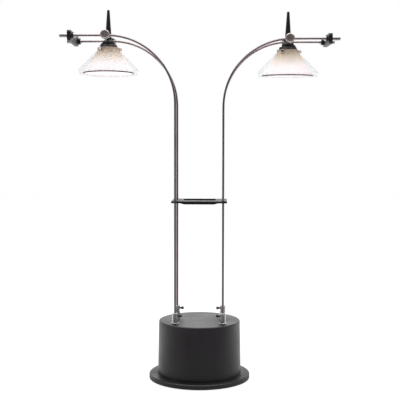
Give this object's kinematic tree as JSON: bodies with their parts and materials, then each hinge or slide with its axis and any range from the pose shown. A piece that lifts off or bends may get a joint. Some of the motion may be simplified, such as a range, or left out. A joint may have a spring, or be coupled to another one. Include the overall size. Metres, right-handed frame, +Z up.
{
  "type": "table lamp",
  "caption": "Table lamp on a drum base: two bent arms of paired steel rods, each with a glass-shaded head that slides, tilts and clamps.",
  "frame": {"origin": "centre of the underside of the base, on the surface it stands on", "axes": "+Z up, +X to the right along the line of the two arms, +Y to the rear, where the cable leaves"},
  "size_m": [0.429, 0.1596, 0.5821],
  "materials": {
    "foot_rubber": "matt",
    "disc_paint": "satin black powder coat",
    "drum_plastic": "fine satin texture",
    "zinc_screws": "zinc plated",
    "core_steel": "stacked laminations",
    "bobbin_nylon": "natural nylon",
    "copper_wire": "enamelled winding wire",
    "chrome": "bright plated",
    "brass": "turned",
    "black_nylon": "satin moulded",
    "rod_steel": "polished lengthwise",
    "steatite": "glazed white ceramic",
    "quartz": "clear quartz",
    "frosted_glass": "white satin",
    "clear_glass": "clear polished"
  },
  "bodies": {
    "base": {"foot_pad": "foot_rubber", "base_disc": "disc_paint", "drum_housing": "drum_plastic", "housing_screws": "zinc_screws", "transformer_core": "core_steel", "transformer_bobbin": "bobbin_nylon", "transformer_winding": "copper_wire", "transformer_strap": "core_steel", "strap_screws": "zinc_screws", "cable_gland": "drum_plastic", "terminal_block": "drum_plastic", "rod_sockets": "chrome", "socket_nuts": "chrome", "socket_lugs": "brass"},
    "left_arm": {"rod_left_front": "rod_steel", "rod_left_rear": "rod_steel", "end_bar_left": "black_nylon", "end_caps_left": "chrome", "end_bushes_left": "black_nylon", "end_collars_left": "chrome", "bridge_bar": "black_nylon", "bridge_screws": "zinc_screws"},
    "left_carriage": {"clamp_blocks_left": "chrome"},
    "left_head": {"pivot_hub_left": "black_nylon", "pivot_stubs_left": "chrome", "head_body_left": "black_nylon", "side_screw_left": "chrome", "handle_left": "black_nylon", "gallery_ring_left": "brass", "lamp_holder_left": "steatite", "halogen_capsule_left": "quartz", "shade_frosted_left": "frosted_glass", "shade_clear_left": "clear_glass", "gallery_screws_left": "chrome"},
    "clamp_knob_left_front": {"clamp_knob_left_front": "chrome"},
    "clamp_knob_left_rear": {"clamp_knob_left_rear": "chrome"},
    "grip_screw_left_front": {"grip_screw_left_front": "chrome"},
    "grip_screw_left_rear": {"grip_screw_left_rear": "chrome"},
    "right_arm": {"rod_right_front": "rod_steel", "rod_right_rear": "rod_steel", "end_bar_right": "black_nylon", "end_caps_right": "chrome", "end_bushes_right": "black_nylon", "end_collars_right": "chrome"},
    "right_carriage": {"clamp_blocks_right": "chrome"},
    "right_head": {"pivot_hub_right": "black_nylon", "pivot_stubs_right": "chrome", "head_body_right": "black_nylon", "side_screw_right": "chrome", "handle_right": "black_nylon", "gallery_ring_right": "brass", "lamp_holder_right": "steatite", "halogen_capsule_right": "quartz", "shade_frosted_right": "frosted_glass", "shade_clear_right": "clear_glass", "gallery_screws_right": "chrome"},
    "clamp_knob_right_front": {"clamp_knob_right_front": "chrome"},
    "clamp_knob_right_rear": {"clamp_knob_right_rear": "chrome"},
    "grip_screw_right_front": {"grip_screw_right_front": "chrome"},
    "grip_screw_right_rear": {"grip_screw_right_rear": "chrome"}
  },
  "joints": [
    {"name": "left_arm_lift", "type": "slide", "parent": "base", "child": "left_arm", "axis": [0, 0, 1], "range_m": [-0.005, 0.02]},
    {"name": "left_head_slide", "type": "slide", "parent": "left_arm", "child": "left_carriage", "axis": [-1, 0, 0], "range_m": [0, 0.02]},
    {"name": "left_head_tilt", "type": "hinge", "parent": "left_carriage", "child": "left_head", "pos_m": [-0.1435, 0, 0.5378], "axis": [0, 0.9999, -0.0151], "range_deg": [-30, 30]},
    {"name": "turn_clamp_knob_left_front", "type": "hinge", "parent": "left_carriage", "child": "clamp_knob_left_front", "pos_m": [-0.1435, 0, 0.5378], "axis": [0, 0.9999, -0.0151], "range_deg": [0, 540]},
    {"name": "turn_clamp_knob_left_rear", "type": "hinge", "parent": "left_carriage", "child": "clamp_knob_left_rear", "pos_m": [-0.1435, 0, 0.5378], "axis": [0, 0.9999, -0.0151], "range_deg": [0, 540]},
    {"name": "turn_grip_screw_left_front", "type": "hinge", "parent": "base", "child": "grip_screw_left_front", "pos_m": [-0.0371, -0.033, 0.1057], "axis": [1, 0, 0], "range_deg": [0, 540]},
    {"name": "turn_grip_screw_left_rear", "type": "hinge", "parent": "base", "child": "grip_screw_left_rear", "pos_m": [-0.0371, 0.033, 0.1057], "axis": [1, 0, 0], "range_deg": [0, 540]},
    {"name": "right_arm_lift", "type": "slide", "parent": "base", "child": "right_arm", "axis": [0, 0, 1], "range_m": [-0.005, 0.02]},
    {"name": "right_head_slide", "type": "slide", "parent": "right_arm", "child": "right_carriage", "axis": [1, 0, 0], "range_m": [0, 0.02]},
    {"name": "right_head_tilt", "type": "hinge", "parent": "right_carriage", "child": "right_head", "pos_m": [0.1375, 0, 0.5342], "axis": [0, 0.9991, 0.0424], "range_deg": [-30, 30]},
    {"name": "turn_clamp_knob_right_front", "type": "hinge", "parent": "right_carriage", "child": "clamp_knob_right_front", "pos_m": [0.1375, 0, 0.5342], "axis": [0, 0.9991, 0.0424], "range_deg": [0, 540]},
    {"name": "turn_clamp_knob_right_rear", "type": "hinge", "parent": "right_carriage", "child": "clamp_knob_right_rear", "pos_m": [0.1375, 0, 0.5342], "axis": [0, 0.9991, 0.0424], "range_deg": [0, 540]},
    {"name": "turn_grip_screw_right_front", "type": "hinge", "parent": "base", "child": "grip_screw_right_front", "pos_m": [0.0371, -0.033, 0.1057], "axis": [-1, 0, 0], "range_deg": [0, 540]},
    {"name": "turn_grip_screw_right_rear", "type": "hinge", "parent": "base", "child": "grip_screw_right_rear", "pos_m": [0.0371, 0.033, 0.1057], "axis": [-1, 0, 0], "range_deg": [0, 540]}
  ]
}
